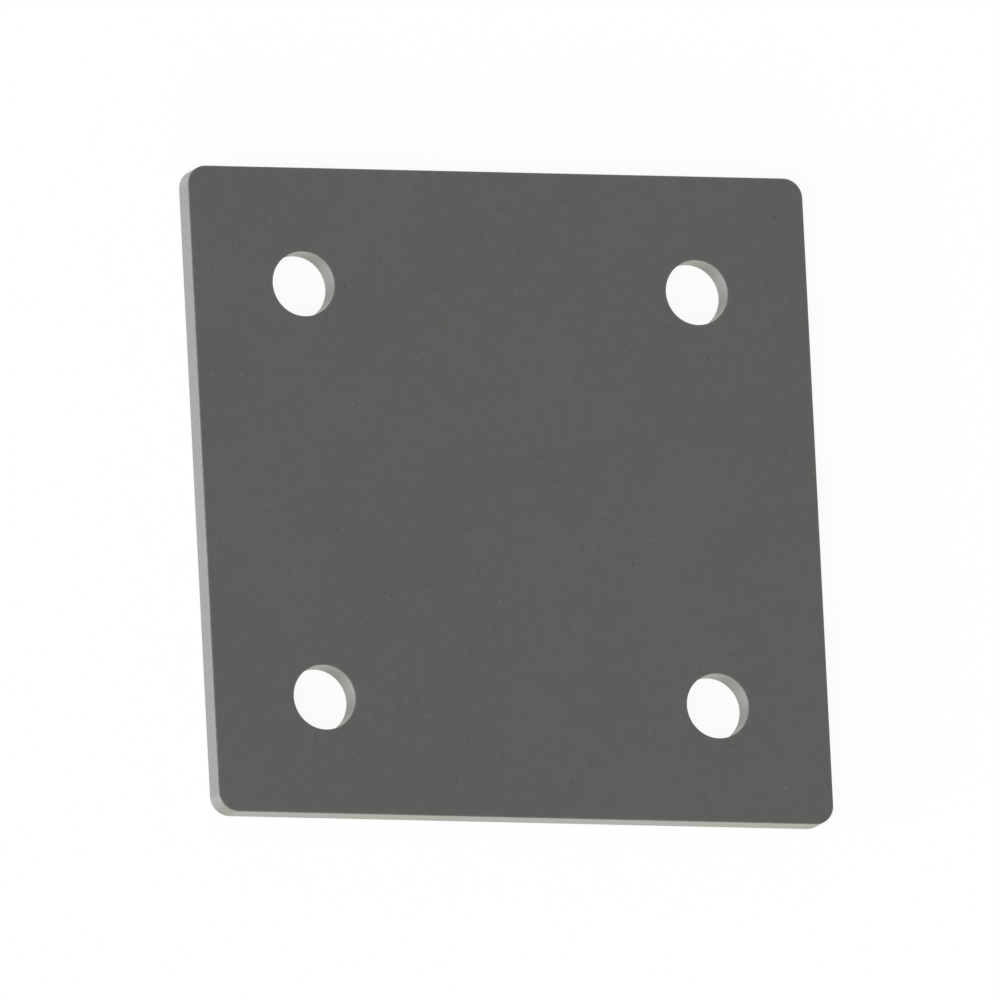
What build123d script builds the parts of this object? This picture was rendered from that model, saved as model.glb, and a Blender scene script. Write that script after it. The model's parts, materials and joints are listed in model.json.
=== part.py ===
from build123d import *
import os

# Square cover plate: one flat piece of steel plate with a plain through hole near each corner.
# It lies on its back face, the side that goes against the opening or frame it covers.
# The origin is the centre of that face. +X is the width, +Y the height, +Z leaves the front face.

# Driving dimensions, in millimetres.
plate_width = 100  # X, edge to edge
plate_height = 100  # Y, edge to edge
plate_thickness = 4  # Z, back face to front face
corner_radius = 3  # on the four upright corners of the outline
hole_diameter = 10  # clearance for an M8 bolt
hole_spacing_x = 64  # between hole centres
hole_spacing_y = 64  # between hole centres
edge_break = 0.1  # deburred edge, at 45 degrees

with BuildPart() as cover_plate:
    # The blank: the outline with its rounded corners, through the full thickness of the plate.
    with BuildSketch(Plane.XY):
        RectangleRounded(plate_width, plate_height, corner_radius)
    extrude(amount=plate_thickness)

    # The bolt holes, on a rectangle about the centre, straight through both faces.
    with GridLocations(hole_spacing_x, hole_spacing_y, 2, 2):
        Hole(radius=hole_diameter / 2)

    # Both faces are deburred all round: the outline and the rims of the holes.
    rims = cover_plate.faces().filter_by(Axis.Z).edges()
    chamfer(rims, length=edge_break)

cover_plate.part.label = "cover_plate"

os.makedirs("parts", exist_ok=True)
export_step(cover_plate.part, "parts/cover_plate.step")
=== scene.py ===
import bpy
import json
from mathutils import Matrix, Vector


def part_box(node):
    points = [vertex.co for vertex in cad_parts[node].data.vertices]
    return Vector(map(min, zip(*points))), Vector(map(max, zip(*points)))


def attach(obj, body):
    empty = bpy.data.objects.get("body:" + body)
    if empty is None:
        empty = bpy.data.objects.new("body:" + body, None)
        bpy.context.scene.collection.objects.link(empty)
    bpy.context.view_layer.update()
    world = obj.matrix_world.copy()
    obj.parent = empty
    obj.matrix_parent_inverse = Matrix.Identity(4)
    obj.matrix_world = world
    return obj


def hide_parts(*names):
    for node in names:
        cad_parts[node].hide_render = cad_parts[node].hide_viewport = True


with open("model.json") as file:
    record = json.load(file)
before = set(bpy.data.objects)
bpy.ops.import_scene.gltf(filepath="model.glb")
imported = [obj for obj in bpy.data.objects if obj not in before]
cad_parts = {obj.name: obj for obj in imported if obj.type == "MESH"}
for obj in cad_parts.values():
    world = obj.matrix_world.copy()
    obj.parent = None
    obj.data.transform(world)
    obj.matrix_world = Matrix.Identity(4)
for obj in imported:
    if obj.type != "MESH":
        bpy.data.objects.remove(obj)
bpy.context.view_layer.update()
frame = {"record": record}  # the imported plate: its node, its body "root" and its record, in metres

import json
import math

import bpy
import numpy as np
from bpy.props import FloatProperty, FloatVectorProperty, PointerProperty
from mathutils import Euler, Vector

bl_info = {
    "name": "Square Cover Plate",
    "version": (1, 0, 0),
    "blender": (4, 5, 0),
    "location": "3D View > Sidebar > Cover Plate",
    "description": "Builds a square steel cover plate with its bolt holes, and the stage it is shown on",
    "category": "Add Mesh",
}

MM = 0.001  # metres in a millimetre
MERGE = 0.001 * MM  # points closer than this are one point
FLOOR_GAP = 0.02 * MM  # the floor's face lies this far under the plate's, so that the two don't fight
SHARP = 30  # degrees: an edge that turns by more than this is shaded as a sharp one

# The finishes, as their places in the plate's materials.
SCALE, CUT, BORE, RIM = range(4)

# How the painted highlight and painted shade on the cut walls go, round the corners and the holes.
CORNER_POWER = 0.85  # below 1, a corner's painted highlight turns to painted shade before it is halfway round
REFLECTION_LOBES = 5  # of painted highlight and painted shade round each hole's wall
FIRST_REFLECTION_LOBE = 20  # degrees round the hole, from +X to the middle of a painted highlight

# Each lamp's way from the plate, and how many degrees across it is seen from there.
LAMPS = {
    "key": ((-0.5, -0.35, 0.79), 40),
    "front": ((-0.15, -0.95, 0.25), 25),
    "side": ((-0.94, -0.25, 0.23), 25),
}
CAMERA_AWAY = 0.5  # metres from the plate, which a camera with parallel rays doesn't show

# What the frame says of the plate. Its default sizes come from these, all but its corners' radius,
# which the frame doesn't hold.
NODE = "cover_plate"
LOW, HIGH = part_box(NODE)
MOUNTS = {mount["name"]: mount for mount in frame["record"]["mounts"]}
BOLT_HOLES = MOUNTS["bolt_holes"]["dims"]
HOLE_WALL = MOUNTS["bolt_hole_top_left"]["dims"]["length_mm"] * MM
CORNER_RADIUS = 3 * MM

# Sockets of a colour Mix node, which share their names with its other kinds of value.
MIX_A, MIX_B, MIX_RESULT = 6, 7, 2


def linear(code):
    """An sRGB colour, "#RRGGBB", turned to the linear red, green and blue that Blender works in."""
    values = [int(code[i:i + 2], 16) / 255 for i in (1, 3, 5)]
    return [v / 12.92 if v <= 0.04045 else ((v + 0.055) / 1.055) ** 2.4 for v in values]


def per_metre(size_mm):
    """The scale that makes a pattern's features about size_mm across."""
    return 1000 / size_mm


# Sizes and colours that a user would change.


def length(name, description, default):
    """A property that holds a length in metres."""
    return FloatProperty(name=name, description=description, default=default, min=0,
                         precision=5, subtype="DISTANCE", unit="LENGTH")


def colour(name, description, code):
    """A property that holds a colour."""
    return FloatVectorProperty(name=name, description=description, default=linear(code),
                               size=3, min=0, max=1, subtype="COLOR")


def angle(name, description, degrees):
    """A property that holds an angle."""
    return FloatProperty(name=name, description=description, default=math.radians(degrees),
                         subtype="ANGLE", unit="ROTATION")


def light(name, description, strength):
    """A property that holds a strength of light."""
    return FloatProperty(name=name, description=description, default=strength, min=0)


class PlateSize(bpy.types.PropertyGroup):
    """The plate's own sizes."""
    width: length("Width", "Edge to edge along X", HIGH.x - LOW.x)
    height: length("Height", "Edge to edge along Y", HIGH.y - LOW.y)
    thickness: length("Thickness", "Back face to front face", HIGH.z - LOW.z)
    corner_radius: length("Corner radius", "Radius of the outline's corners", CORNER_RADIUS)
    spacing_x: length("Hole spacing X", "Between hole centres along X", BOLT_HOLES["spacing_x_mm"] * MM)
    spacing_y: length("Hole spacing Y", "Between hole centres along Y", BOLT_HOLES["spacing_y_mm"] * MM)
    hole_radius: length("Hole radius", "Radius of the holes' walls", BOLT_HOLES["hole_r_mm"] * MM)
    edge_break: length("Edge break", "Width of the deburred edge of both faces",
                       (HIGH.z - LOW.z - HOLE_WALL) / 2)


class PlateFinish(bpy.types.PropertyGroup):
    """The plate's colours. Each finish goes from one of them to another."""
    scale_dark: colour("Scale, dark", "Pits and troughs in the mill scale of the faces", "#474844")
    scale_light: colour("Scale, light", "Rubbed crumbs and crests of the same", "#686966")
    # Cut edge: the darker colour is the drag lines' troughs and the painted shade, the lighter their
    # crests and the painted highlight; its straw is painted shade.
    cut_trough_and_shade: colour("Cut edge, straw", "Where the cut's heat has tinted the steel", "#989A90")
    cut_crest_and_highlight: colour("Cut edge, bright", "Where it stayed bright", "#B2AFAC")
    # Hole wall: the darker colour is the feed rings' troughs and the painted shade, the lighter their
    # crests and the painted highlight.
    bore_trough_and_shade: colour("Hole wall, straw", "Where oil has tinted the steel", "#9A9A93")
    bore_crest_and_highlight: colour("Hole wall, bright", "Where the drill has rubbed it bright", "#ACADA6")
    rim_bare: colour("Rim, bare", "Where deburring has cut through the scale", "#7C776A")


class StageSettings(bpy.types.PropertyGroup):
    """The floor, the light and the camera."""
    floor_colour: colour("Floor", "Paper under the plate", "#FAFAF9")
    floor_reach: length("Floor reach", "From the plate's middle to the floor's sides", 1.2)
    backdrop_white: FloatProperty(name="Backdrop white", description="Share of plain white in its look",
                                  default=0.9, min=0, max=1, subtype="FACTOR")
    sky_light: light("Sky light", "Even light from all round", 0.6)
    key_light: light("Key light", "Soft light from the lower left", 1.03)
    key_colour: colour("Key colour", "Slightly warm", "#FFFBF6")
    front_light: light("Front light", "Low soft light on the bottom walls", 1)
    front_colour: colour("Front colour", "Warm", "#FFE6C4")
    side_light: light("Side light", "Low soft light on the left walls", 2.42)
    side_colour: colour("Side colour", "Cool", "#C6D8FF")
    tilt_x: angle("Camera tilt X", "Turns the camera about its own level axis", 11.89)
    tilt_y: angle("Camera tilt Y", "Leans the camera to the plate's left", -20.84)
    turn_z: angle("Camera turn", "Turns the camera about the upright", -3.06)
    view_width: length("View width", "Width of what the camera sees", 151.92 * MM)
    view_right: length("View right", "How far right of the middle the plate stands", 0.933 * MM)
    view_up: length("View up", "How far above the middle the plate stands", 0.403 * MM)


# Surfaces, worked out as whole arrays.


def hole_centre(size):
    """The centre of the hole in the quarter of the plate where X and Y are positive."""
    return np.array([size.spacing_x, size.spacing_y]) / 2


def cell_border(size):
    """One quarter of the face, as the closed border round one hole, and the outline's way out.

    The border runs anticlockwise from (a, 0): up the right side, round the corner, along the top,
    down the plate's middle to the centre and back out to (a, 0). a and b are half the width and
    height less the edge break, and the corner keeps its centre, so its radius is less by the break
    too. Returns the points (n, 2), and for the m points on the outline the way out, a unit normal.
    """
    sides, turns, middles = 40, 12, 24  # steps along a side, round the corner and down a middle
    a, b = size.width / 2 - size.edge_break, size.height / 2 - size.edge_break
    r = size.corner_radius - size.edge_break
    t = np.linspace(0, 1, sides + 1)[:, None]
    q = np.linspace(0, math.pi / 2, turns + 1)
    out = np.stack([np.cos(q), np.sin(q)], 1)
    right = np.array([a, 0]) * (1 - t) + np.array([a, b - r]) * t
    corner = np.array([a - r, b - r]) + r * out
    top = np.array([a - r, b]) * (1 - t) + np.array([0, b]) * t
    s = np.linspace(0, 1, middles + 1)[:, None]
    down = np.array([0, b]) * (1 - s)
    back = np.array([a, 0]) * s
    outline = np.concatenate([right[:-1], corner, top[1:]])
    normals = np.concatenate([np.tile(out[0], (sides, 1)), out, np.tile(out[-1], (sides, 1))])
    return np.concatenate([outline, down[1:], back[1:-1]]), normals


def edge_profile(size):
    """How far out and how high the cut edge runs, from the front face's rim to the back face's.

    It leaves the front face at 45 degrees, drops straight down, and comes back in at 45 degrees.
    """
    e, h = size.edge_break, size.thickness
    return np.array([[0, h], [e, h - e], [e, e], [0, 0]])


def quads(rows, columns, closed):
    """The corners of the faces between a grid's points, its last and first columns joined if closed."""
    index = np.arange(rows * columns).reshape(rows, columns)
    across = np.roll(index, -1, 1) if closed else index[:, 1:]
    index = index if closed else index[:, :-1]
    return np.stack([index[:-1], index[1:], across[1:], across[:-1]], -1).reshape(-1, 4)


def face_grid(size, border, height):
    """The flat face round one hole: point(u, v) = (1 - v) rim(u) + v border(u), at one height.

    rim(u) is where the line from the hole's centre to border(u) leaves the hole. v goes as half of
    1 - cos, from 0 to pi, so its rows crowd to both ends and the worn rims have rows of their own.
    """
    rows = 13
    centre = hole_centre(size)
    away = border - centre
    rim = centre + (size.hole_radius + size.edge_break) * away / np.linalg.norm(away, axis=1)[:, None]
    v = (1 - np.cos(np.linspace(0, math.pi, rows)))[:, None, None] / 2
    flat = (1 - v) * rim + v * border
    return np.concatenate([flat, np.full(flat.shape[:2] + (1,), height)], -1)


def hole_wall(size, rim):
    """A hole's wall: point(u, v) = rim(u) moved in by the edge profile's reach at v, at its height."""
    centre = hole_centre(size)
    inward = (centre - rim) / np.linalg.norm(centre - rim, axis=1)[:, None]
    return carried(rim, inward, edge_profile(size))


def carried(path, out, profile):
    """A profile carried along a path: point(u, v) = path(u) + reach(v) out(u), at height(v)."""
    reach, height = profile[:, 0, None, None], profile[:, 1, None, None]
    flat = path + reach * out
    return np.concatenate([flat, np.broadcast_to(height, flat.shape[:2] + (1,))], -1)


def plate_surface(size):
    """The whole plate: one quarter of it mirrored in X and in Y, and the shared points merged.

    Returns the points, the faces and each face's finish, as its place in the plate's materials.
    """
    border, normals = cell_border(size)
    front = face_grid(size, border, size.thickness)
    back = face_grid(size, border, 0)
    wall = hole_wall(size, front[0, :, :2])
    edge = carried(border[:len(normals)], normals, edge_profile(size))
    flat = [SCALE] * (len(front) - 1)
    points, faces, finishes = [], [], []
    first = 0
    for grid, closed, flipped, strips in ((front, True, False, flat), (back, True, True, flat),
                                          (wall, True, True, [RIM, BORE, RIM]),
                                          (edge, False, False, [RIM, CUT, RIM])):
        for sx, sy in ((1, 1), (-1, 1), (-1, -1), (1, -1)):
            corners = quads(*grid.shape[:2], closed) + first
            turned = (sx * sy < 0) != flipped
            points.append((grid * [sx, sy, 1]).reshape(-1, 3))
            faces.append(corners[:, ::-1] if turned else corners)
            finishes.append(np.repeat(strips, len(corners) // len(strips)))
            first += grid.shape[0] * grid.shape[1]
    points, faces = np.concatenate(points), np.concatenate(faces)
    place, index = np.unique(np.round(points / MERGE) + 0.0, axis=0, return_inverse=True)
    return place * MERGE, index.reshape(-1)[faces], np.concatenate(finishes)


def rim_distance(size, points):
    """How far each point of a face is from the nearest cut edge, in millimetres.

    To the outline it is that of a rounded rectangle: with q = |p| less the half size less the
    corner's radius, it is radius - |max(q, 0)| - min(max(q), 0). To a hole it is the distance to
    the nearest centre less the hole's radius.
    """
    p = np.abs(points[:, :2])
    r = size.corner_radius
    q = p - np.array([size.width, size.height]) / 2 + r
    outline = r - np.linalg.norm(np.maximum(q, 0), axis=1) - np.minimum(q.max(1), 0)
    hole = np.linalg.norm(p - hole_centre(size), axis=1) - size.hole_radius
    return np.minimum(outline, hole) / MM


def painted_wall_shine(size, points):
    """How bright each point of the cut walls is painted: 1 is the brightest painted highlight, 0 plain
    and -1 the darkest painted shade.

    On a corner of the outline, with t from 0, where it leaves the left or right side, to 1, where
    it meets the top or bottom, it is the sine of one whole turn of t: a painted highlight into the
    corner, painted shade out of it. On a hole's wall it is the cosine of five times the angle round
    the hole, from the first lobe: five painted highlights and five painted shades round the wall.
    """
    r = size.corner_radius
    half = np.array([size.width, size.height]) / 2
    x, y = np.maximum(np.abs(points[:, :2]) - half + r, 0).T
    turned = (np.arctan2(y, x) / (math.pi / 2)) ** CORNER_POWER
    # A painted highlight into each corner of the outline, and painted shade out of it.
    corner = np.where((x > 0) & (y > 0), np.sin(2 * math.pi * turned), 0)
    centre = np.sign(points[:, :2]) * hole_centre(size)
    across, up = (points[:, :2] - centre).T
    # Five painted highlights and five painted shades round each hole's wall.
    lobes = np.cos(REFLECTION_LOBES * (np.arctan2(up, across) - math.radians(FIRST_REFLECTION_LOBE)))
    at_hole = np.hypot(across, up) < size.hole_radius + 2 * size.edge_break
    return np.where(at_hole, lobes, corner)


def new_mesh(name, points, faces, finishes):
    """A mesh object from arrays: points (n, 3), four-cornered faces (m, 4) and each face's finish."""
    mesh = bpy.data.meshes.new(name)
    mesh.vertices.add(len(points))
    mesh.vertices.foreach_set("co", points.ravel())
    mesh.loops.add(faces.size)
    mesh.loops.foreach_set("vertex_index", faces.ravel())
    mesh.polygons.add(len(faces))
    mesh.polygons.foreach_set("loop_start", np.arange(0, faces.size, faces.shape[1]))
    mesh.polygons.foreach_set("material_index", finishes)
    mesh.polygons.foreach_set("use_smooth", np.ones(len(faces), bool))
    mesh.update(calc_edges=True)
    mesh.set_sharp_from_angle(angle=math.radians(SHARP))
    piece = bpy.data.objects.new(name, mesh)
    bpy.context.scene.collection.objects.link(piece)
    return piece


# Finishes.


def add(tree, kind, inputs=None, **settings):
    """Adds a shader node. settings are its attributes, and inputs its sockets by name or place.

    An input given as another node's output is linked, and any other value is set on the socket.
    """
    node = tree.nodes.new(kind)
    for name, value in settings.items():
        setattr(node, name, value)
    for name, value in (inputs or {}).items():
        if isinstance(value, bpy.types.NodeSocket):
            tree.links.new(value, node.inputs[name])
        else:
            node.inputs[name].default_value = value
    return node


def new_material(name):
    """An empty material, its tree and its output node."""
    material = bpy.data.materials.new(name)
    material.use_nodes = True
    tree = material.node_tree
    tree.nodes.clear()
    return material, tree, add(tree, "ShaderNodeOutputMaterial")


def rgba(values):
    """A colour property as the four numbers that a colour socket takes."""
    return [*values, 1]


def scale_marks(tree, place):
    """How far the mill scale sinks or stands up, from -0.6 in the deepest pit to 0.42 on a crumb.

    Each small square of the face has one mark at a random place in it, uneven in outline. A mark's
    height is one chance, from pit to crumb, times another, so that most marks are faint and a few
    are plain. Between the marks it is 0.
    """
    square, dent, stray = 2, 0.5, 0.6  # in mm: the square, the dents in an outline and their reach
    dents = add(tree, "ShaderNodeTexNoise", {"Vector": place, "Scale": per_metre(dent), "Detail": 1})
    strayed = add(tree, "ShaderNodeVectorMath",
                  {0: dents.outputs["Color"], 1: (stray * MM, stray * MM, 0), 2: place},
                  operation="MULTIPLY_ADD")
    cells = add(tree, "ShaderNodeTexVoronoi",
                {"Vector": strayed.outputs["Vector"], "Scale": per_metre(square), "Randomness": 1},
                voronoi_dimensions="2D")
    chance = add(tree, "ShaderNodeSeparateColor", {"Color": cells.outputs["Color"]})
    # A mark reaches 0.23 to 0.47 mm from its middle, here as shares of the square.
    reach = add(tree, "ShaderNodeMapRange",
                {"Value": chance.outputs["Red"], "To Min": 0.115, "To Max": 0.235})
    spot = add(tree, "ShaderNodeMapRange",
               {"Value": cells.outputs["Distance"], "From Min": 0, "From Max": reach.outputs["Result"],
                "To Min": 1, "To Max": 0}, interpolation_type="SMOOTHSTEP")
    height = add(tree, "ShaderNodeMapRange",
                 {"Value": chance.outputs["Green"], "To Min": -0.6, "To Max": 0.42})
    height = add(tree, "ShaderNodeMath",
                 {0: height.outputs["Result"], 1: chance.outputs["Blue"]}, operation="MULTIPLY")
    return add(tree, "ShaderNodeMath",
               {0: spot.outputs["Result"], 1: height.outputs[0]}, operation="MULTIPLY").outputs[0]


def mill_scale(finish):
    """Hot-rolled steel with its mill scale left on: a thin skin of blue-grey iron oxide.

    It is satin and even, softly clouded where the skin cooled at different rates, with a fine
    uneven grain, dark pits where scale was rolled in and fell out, and paler crumbs where it
    stayed and is rubbed. It is rubbed a little along the rims too. The oxide conducts, so it
    shines as a dull metal.
    """
    material, tree, output = new_material("hot_rolled_mill_scale")
    place = add(tree, "ShaderNodeTexCoord").outputs["Object"]
    # The skin cools in patches a finger's width across.
    clouds = add(tree, "ShaderNodeTexNoise",
                 {"Vector": place, "Scale": per_metre(18), "Detail": 2, "Roughness": 0.5})
    # Oxide grain is about 0.03 mm, too fine to show, so it is drawn from 1.6 mm down to 0.2 mm.
    grain = add(tree, "ShaderNodeTexNoise",
                {"Vector": place, "Scale": per_metre(1.6), "Detail": 3, "Roughness": 0.8})
    marks = scale_marks(tree, place)
    # The rims are rubbed within 0.7 mm of the edge, in patches as the clouds have it.
    rim = add(tree, "ShaderNodeAttribute", attribute_name="rim_mm")
    rubbed = add(tree, "ShaderNodeMapRange",
                 {"Value": rim.outputs["Fac"], "From Min": 0, "From Max": 0.7,
                  "To Min": 0.16, "To Max": 0}, interpolation_type="SMOOTHSTEP")
    # All of it adds up to one tone, from the darkest of the scale at 0 to the lightest at 1. The
    # clouds and the grain average a half, so the sum starts where that brings it to a half.
    cloud_share, grain_share, mark_share = 0.14, 0.3, 0.55
    tone = 0.5 - (cloud_share + grain_share) / 2
    for part, share in ((clouds.outputs["Fac"], cloud_share), (grain.outputs["Fac"], grain_share),
                        (marks, mark_share), (rubbed.outputs["Result"], clouds.outputs["Fac"])):
        tone = add(tree, "ShaderNodeMath", {0: part, 1: share, 2: tone},
                   operation="MULTIPLY_ADD").outputs[0]
    skin = add(tree, "ShaderNodeMix",
               {0: tone, MIX_A: rgba(finish.scale_dark), MIX_B: rgba(finish.scale_light)},
               data_type="RGBA")
    # Darker scale is rougher.
    rough = add(tree, "ShaderNodeMapRange",
                {"Value": tone, "From Min": 0.2, "From Max": 0.8, "To Min": 0.54, "To Max": 0.42})
    # The grain is shallow. The marks sink or stand up by up to a tenth of a millimetre.
    relief = add(tree, "ShaderNodeBump",
                 {"Strength": 0.3, "Distance": 0.05 * MM, "Height": grain.outputs["Fac"]})
    relief = add(tree, "ShaderNodeBump",
                 {"Strength": 1, "Distance": 0.165 * MM, "Height": marks,
                  "Normal": relief.outputs["Normal"]})
    shader = add(tree, "ShaderNodeBsdfPrincipled",
                 {"Base Color": skin.outputs[MIX_RESULT], "Metallic": 0.8,
                  "Roughness": rough.outputs["Result"], "Normal": relief.outputs["Normal"]})
    tree.links.new(shader.outputs["BSDF"], output.inputs["Surface"])
    return material


def cut_steel(name, size_mm, tinted, bright):
    """Bare mild steel marked by its cutting: lines of the given size along X, Y and Z.

    It goes from tinted, the troughs' colour and the painted shade, to bright, the crests' colour and
    the painted highlight, as the mesh's "shine" goes from -1 to 1. Crests of the lines are polished
    a little by the cut, so they are both brighter and smoother than the troughs.
    """
    material, tree, output = new_material(name)
    place = add(tree, "ShaderNodeTexCoord").outputs["Object"]
    drawn = add(tree, "ShaderNodeMapping",
                {"Vector": place, "Scale": [per_metre(one) for one in size_mm]})
    lines = add(tree, "ShaderNodeTexNoise",
                {"Vector": drawn.outputs["Vector"], "Scale": 1, "Detail": 2, "Roughness": 0.55})
    # The mesh's "shine" is a painted highlight and painted shade, round the outline's corners and the
    # holes' walls.
    shine = add(tree, "ShaderNodeAttribute", attribute_name="shine")
    # One tone, from tinted at 0 to bright at 1, from the lines and the painted shine. The lines
    # average a half, so the sum starts where that brings plain steel to a little under the middle.
    line_share, painted_shine_share, plain = 0.8, 0.38, 0.42
    tone = plain - line_share / 2
    for part, share in ((lines.outputs["Fac"], line_share), (shine.outputs["Fac"], painted_shine_share)):
        tone = add(tree, "ShaderNodeMath", {0: part, 1: share, 2: tone},
                   operation="MULTIPLY_ADD").outputs[0]
    bare = add(tree, "ShaderNodeMix",
               {0: tone, MIX_A: rgba(tinted), MIX_B: rgba(bright)}, data_type="RGBA")
    rough = add(tree, "ShaderNodeMapRange",
                {"Value": lines.outputs["Fac"], "From Min": 0.25, "From Max": 0.75,
                 "To Min": 0.65, "To Max": 0.55})
    relief = add(tree, "ShaderNodeBump",
                 {"Strength": 0.2, "Distance": 0.02 * MM, "Height": lines.outputs["Fac"]})
    shader = add(tree, "ShaderNodeBsdfPrincipled",
                 {"Base Color": bare.outputs[MIX_RESULT], "Metallic": 1,
                  "Roughness": rough.outputs["Result"], "Normal": relief.outputs["Normal"]})
    tree.links.new(shader.outputs["BSDF"], output.inputs["Surface"])
    return material


def laser_cut_edge(finish):
    """Mild steel cut by laser under nitrogen: bare bright metal, with drag lines from face to face.

    They are 0.2 mm apart, run the full thickness and wander a little, which gives the edge a soft,
    faintly ribbed shine. Round each corner a painted highlight turns to a painted shade the colour
    of pale straw.
    """
    return cut_steel("laser_cut_steel", (0.2, 0.2, 7), finish.cut_trough_and_shade, finish.cut_crest_and_highlight)


def drilled_bore(finish):
    """Mild steel drilled with cutting oil: feed rings round the wall, which come and go along it.

    Real rings are 0.15 mm apart, too fine to show, so they are drawn 0.3 mm apart. The wall is
    greyer than the cut edge and a little yellow, as the oil leaves it. Five painted highlights and
    five painted shades go round it.
    """
    return cut_steel("drilled_steel", (9, 9, 0.3), finish.bore_trough_and_shade, finish.bore_crest_and_highlight)


def deburred_rim(finish):
    """Scale worn thin by tumbling: dark as the faces, with bare steel showing in small patches.

    Each patch is where a neighbour in the drum has struck the rim, about 0.7 mm along it.
    """
    material, tree, output = new_material("tumbled_steel_rim")
    place = add(tree, "ShaderNodeTexCoord").outputs["Object"]
    patches = add(tree, "ShaderNodeTexNoise",
                  {"Vector": place, "Scale": per_metre(0.7), "Detail": 3, "Roughness": 0.6})
    bared = add(tree, "ShaderNodeMapRange",
                {"Value": patches.outputs["Fac"], "From Min": 0.45, "From Max": 0.7})
    worn = add(tree, "ShaderNodeMix",
               {0: bared.outputs["Result"], MIX_A: rgba(finish.scale_light),
                MIX_B: rgba(finish.rim_bare)}, data_type="RGBA")
    shader = add(tree, "ShaderNodeBsdfPrincipled",
                 {"Base Color": worn.outputs[MIX_RESULT], "Metallic": 0.8, "Roughness": 0.7})
    tree.links.new(shader.outputs["BSDF"], output.inputs["Surface"])
    return material


def seen_directly(tree):
    """1 for the rays that show the backdrop, straight, in metal or through glass, and 0 for light."""
    path = add(tree, "ShaderNodeLightPath")
    shown = add(tree, "ShaderNodeMath",
                {0: path.outputs["Is Camera Ray"], 1: path.outputs["Is Glossy Ray"]}, operation="MAXIMUM")
    return add(tree, "ShaderNodeMath",
               {0: shown.outputs[0], 1: path.outputs["Is Transmission Ray"]},
               operation="MAXIMUM").outputs[0]


def studio_paper(stage):
    """Matt white backdrop paper: it is lit by the lamps, and shown most of the way to plain white.

    What is left of the lit paper keeps the plate's soft shadow.
    """
    material, tree, output = new_material("white_studio_paper")
    place = add(tree, "ShaderNodeTexCoord").outputs["Object"]
    # Fibres are about 0.03 mm wide, too fine to show, so they are drawn as tufts of 0.6 mm.
    fibres = add(tree, "ShaderNodeTexNoise",
                 {"Vector": place, "Scale": per_metre(0.6), "Detail": 3, "Roughness": 0.6})
    relief = add(tree, "ShaderNodeBump",
                 {"Strength": 0.05, "Distance": 0.02 * MM, "Height": fibres.outputs["Fac"]})
    paper = add(tree, "ShaderNodeBsdfDiffuse",
                {"Color": rgba(stage.floor_colour), "Normal": relief.outputs["Normal"]})
    white = add(tree, "ShaderNodeEmission", {"Color": (1, 1, 1, 1), "Strength": 1})
    share = add(tree, "ShaderNodeMath",
                {0: seen_directly(tree), 1: stage.backdrop_white}, operation="MULTIPLY")
    mixed = add(tree, "ShaderNodeMixShader",
                {0: share.outputs[0], 1: paper.outputs["BSDF"], 2: white.outputs["Emission"]})
    tree.links.new(mixed.outputs[0], output.inputs["Surface"])
    return material


# The stage.


def floor(stage):
    """A flat square floor: point(u, v) = (u, v) reach, just under the plate, u and v from -1 to 1."""
    rows = np.linspace(-1, 1, 25)
    u, v = np.meshgrid(rows, rows)
    points = np.stack([u, v, np.zeros(u.shape)], -1) * stage.floor_reach - [0, 0, FLOOR_GAP]
    faces = quads(*u.shape, False)[:, ::-1]
    piece = new_mesh("floor", points.reshape(-1, 3), faces, np.zeros(len(faces), int))
    piece.data.materials.append(studio_paper(stage))


def sky(stage):
    """Even light from all round, which the camera and the metal see as plain white."""
    world = bpy.data.worlds.new("studio")
    world.use_nodes = True
    tree = world.node_tree
    tree.nodes.clear()
    even = add(tree, "ShaderNodeBackground", {"Color": (1, 1, 1, 1), "Strength": stage.sky_light})
    white = add(tree, "ShaderNodeBackground", {"Color": (1, 1, 1, 1), "Strength": 1})
    mixed = add(tree, "ShaderNodeMixShader",
                {0: seen_directly(tree), 1: even.outputs[0], 2: white.outputs[0]})
    add(tree, "ShaderNodeOutputWorld", {"Surface": mixed.outputs[0]})
    bpy.context.scene.world = world


def lamp(name, towards, spread, strength, tint):
    """A large soft lamp far off. towards points from the plate to it, and spread is how wide it looks."""
    data = bpy.data.lights.new(name, "SUN")
    data.energy = strength
    data.color = tint
    data.angle = math.radians(spread)
    piece = bpy.data.objects.new(name, data)
    piece.rotation_euler = Vector(towards).to_track_quat("Z", "Y").to_euler()
    bpy.context.scene.collection.objects.link(piece)


def camera(stage):
    """A camera with parallel rays, looking down on the plate from its lower left."""
    data = bpy.data.cameras.new("view")
    data.type = "ORTHO"
    data.ortho_scale = stage.view_width
    piece = bpy.data.objects.new("view", data)
    turn = Euler((stage.tilt_x, stage.tilt_y, stage.turn_z))
    middle = (LOW + HIGH) / 2
    offset = Vector((-stage.view_right, -stage.view_up, CAMERA_AWAY))
    piece.rotation_euler = turn
    piece.location = middle + turn.to_matrix() @ offset
    bpy.context.scene.collection.objects.link(piece)
    bpy.context.scene.camera = piece


# Operators, in the order in which main() calls them.


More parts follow.
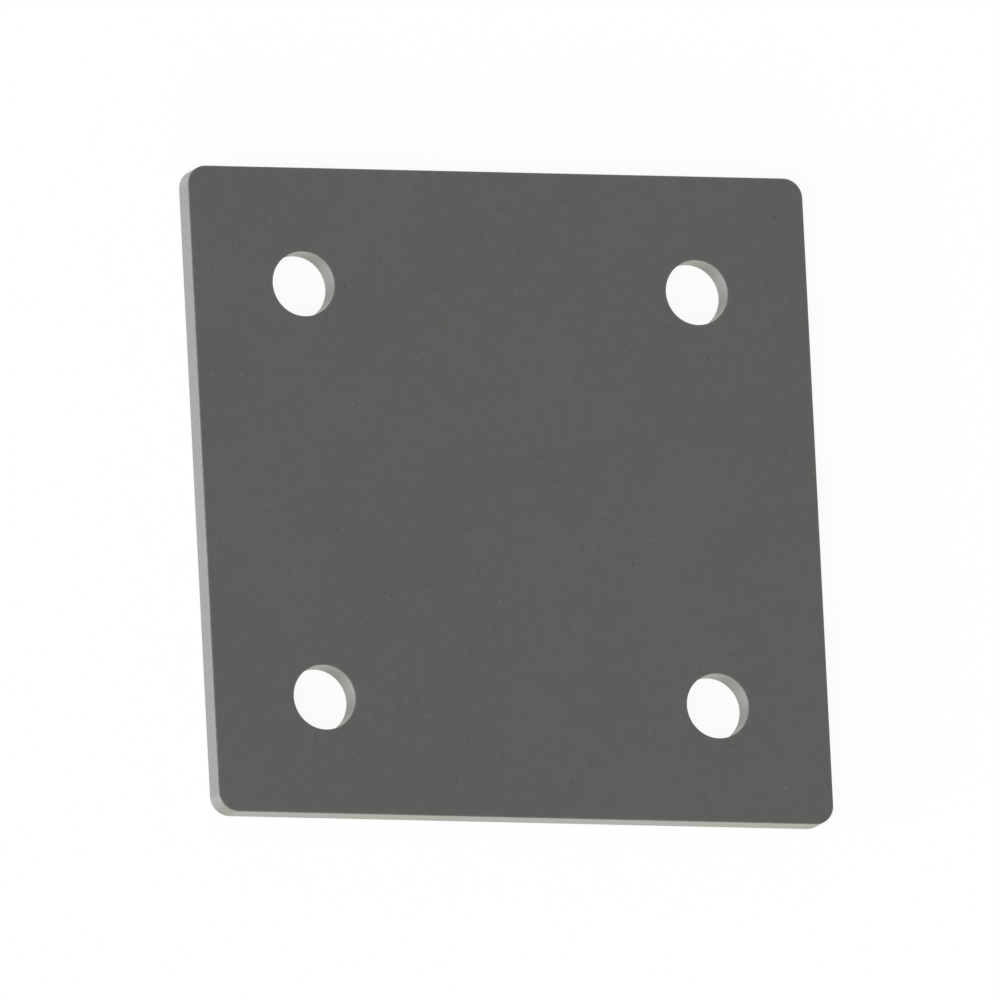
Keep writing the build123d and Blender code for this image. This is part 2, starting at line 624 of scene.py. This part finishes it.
class COVERPLATE_OT_plate(bpy.types.Operator):
    """Build the finished plate over its node in the frame"""
    bl_idname = "cover_plate.plate"
    bl_label = "Cover Plate"
    bl_options = {"REGISTER", "UNDO"}

    def execute(self, context):
        size, finish = context.scene.plate_size, context.scene.plate_finish
        reach_x = size.spacing_x / 2 + size.hole_radius + size.edge_break
        reach_y = size.spacing_y / 2 + size.hole_radius + size.edge_break
        if reach_x >= size.width / 2 or reach_y >= size.height / 2:
            raise ValueError("the holes reach past the plate's edges")
        points, faces, finishes = plate_surface(size)
        plate = new_mesh("steel_plate", points, faces, finishes)
        # The "shine" attribute holds the painted highlight and painted shade of the cut walls.
        for name, values in (("rim_mm", rim_distance(size, points)), ("shine", painted_wall_shine(size, points))):
            plate.data.attributes.new(name, "FLOAT", "POINT").data.foreach_set("value", values)
        for make in (mill_scale, laser_cut_edge, drilled_bore, deburred_rim):
            plate.data.materials.append(make(finish))
        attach(plate, "root")
        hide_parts(NODE)
        return {"FINISHED"}


class COVERPLATE_OT_stage(bpy.types.Operator):
    """Lay the floor, hang the lamps and place the camera"""
    bl_idname = "cover_plate.stage"
    bl_label = "Stage"
    bl_options = {"REGISTER", "UNDO"}

    def execute(self, context):
        stage = context.scene.plate_stage
        floor(stage)
        sky(stage)
        for name, (towards, spread) in LAMPS.items():
            lamp(name, towards, spread, getattr(stage, name + "_light"), getattr(stage, name + "_colour"))
        camera(stage)
        context.scene.view_settings.view_transform = "Standard"
        return {"FINISHED"}


class COVERPLATE_PT_sidebar(bpy.types.Panel):
    """Sizes, colours and the two steps"""
    bl_label = "Cover Plate"
    bl_idname = "COVERPLATE_PT_sidebar"
    bl_space_type = "VIEW_3D"
    bl_region_type = "UI"
    bl_category = "Cover Plate"

    def draw(self, context):
        scene = context.scene
        for operator, groups in (("cover_plate.plate", (scene.plate_size, scene.plate_finish)),
                                 ("cover_plate.stage", (scene.plate_stage,))):
            box = self.layout.box()
            for group in groups:
                for name in group.__annotations__:
                    box.prop(group, name)
            box.operator(operator)


CLASSES = (PlateSize, PlateFinish, StageSettings,
           COVERPLATE_OT_plate, COVERPLATE_OT_stage, COVERPLATE_PT_sidebar)
GROUPS = {"plate_size": PlateSize, "plate_finish": PlateFinish, "plate_stage": StageSettings}


def register():
    """Adds the classes, and their settings to every scene."""
    for one in CLASSES:
        bpy.utils.register_class(one)
    for name, group in GROUPS.items():
        setattr(bpy.types.Scene, name, PointerProperty(type=group))


def unregister():
    """Takes the settings and the classes away again."""
    for name in GROUPS:
        delattr(bpy.types.Scene, name)
    for one in reversed(CLASSES):
        bpy.utils.unregister_class(one)


def main():
    """Builds the plate and its stage."""
    register()
    bpy.ops.cover_plate.plate()
    bpy.ops.cover_plate.stage()


if __name__ == "__main__":
    main()
